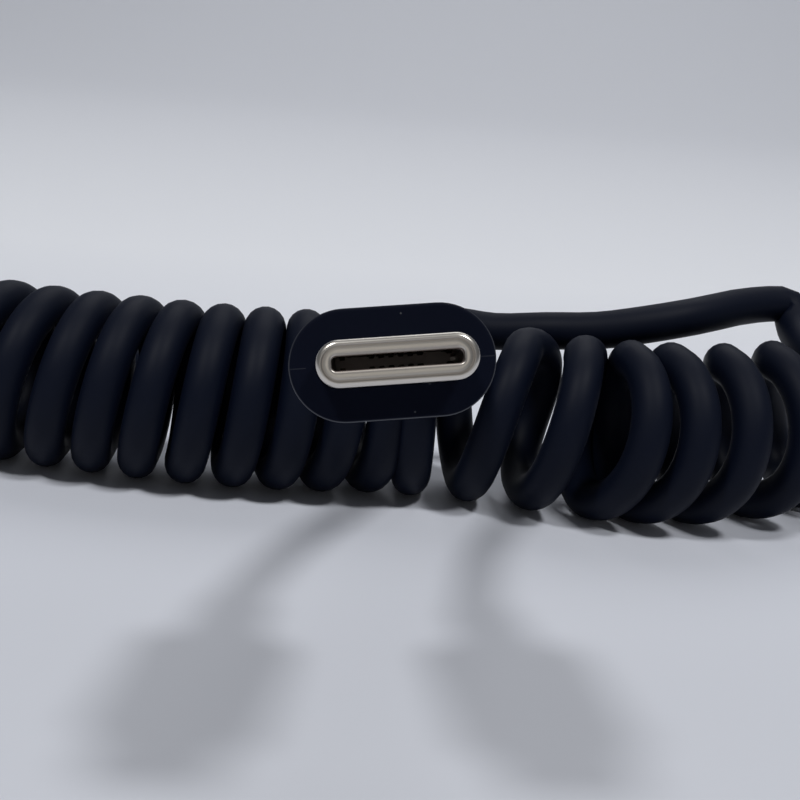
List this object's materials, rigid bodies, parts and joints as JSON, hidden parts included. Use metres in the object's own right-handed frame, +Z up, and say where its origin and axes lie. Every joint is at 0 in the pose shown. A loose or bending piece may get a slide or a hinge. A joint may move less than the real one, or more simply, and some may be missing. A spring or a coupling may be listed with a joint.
{
  "type": "coiled usb-c charging cable",
  "caption": "Black charging cable whose cord is wound into a tight spring, with a slim oval metal plug in a soft black boot at each end, one of them raised",
  "frame": {"origin": "on the floor, under the middle of the box that holds both plugs", "axes": "+Z up from the floor, +Y from the raised plug's tip towards the coil and the far plug, +X to the right as seen from the raised plug's tip"},
  "size_m": [0.135, 0.1267, 0.0307],
  "materials": {
    "nickel_shell": "drawn steel with bright nickel plate",
    "black_moulding": "matte black moulding with a satin edge",
    "cord_jacket": "matte black elastomer jacket",
    "black_insulator": "dark moulded block",
    "gold_contacts": "thin gold plate",
    "spring_steel": "stamped spring sheet",
    "green_board": "green solder mask",
    "black_chip": "black epoxy",
    "tinned_can": "dull tin plate",
    "red_wire": "red insulation",
    "black_wire": "black insulation",
    "white_wire": "white insulation",
    "pale_moulding": "stiff unpainted inner moulding"
  },
  "bodies": {
    "root": {"near_shell": "nickel_shell", "near_insulator": "black_insulator", "near_upper_contacts": "gold_contacts", "near_lower_contacts": "gold_contacts", "near_latch_plate": "spring_steel", "near_upper_ground_spring": "spring_steel", "near_lower_ground_spring": "spring_steel", "near_board": "green_board", "near_chip": "black_chip", "near_resistor": "black_chip", "near_shield_upper": "tinned_can", "near_shield_lower": "tinned_can", "near_power_wire": "red_wire", "near_ground_wire": "black_wire", "near_data_wires": "white_wire", "near_crimp_ring": "tinned_can", "near_inner_mould": "pale_moulding", "near_boot": "black_moulding", "far_shell": "nickel_shell", "far_insulator": "black_insulator", "far_upper_contacts": "gold_contacts", "far_lower_contacts": "gold_contacts", "far_latch_plate": "spring_steel", "far_upper_ground_spring": "spring_steel", "far_lower_ground_spring": "spring_steel", "far_board": "green_board", "far_chip": "black_chip", "far_resistor": "black_chip", "far_shield_upper": "tinned_can", "far_shield_lower": "tinned_can", "far_power_wire": "red_wire", "far_ground_wire": "black_wire", "far_data_wires": "white_wire", "far_crimp_ring": "tinned_can", "far_inner_mould": "pale_moulding", "far_boot": "black_moulding", "near_lead": "cord_jacket", "coil_right": "cord_jacket", "middle_lead": "cord_jacket", "coil_left": "cord_jacket", "far_lead": "cord_jacket"}
  },
  "joints": []
}
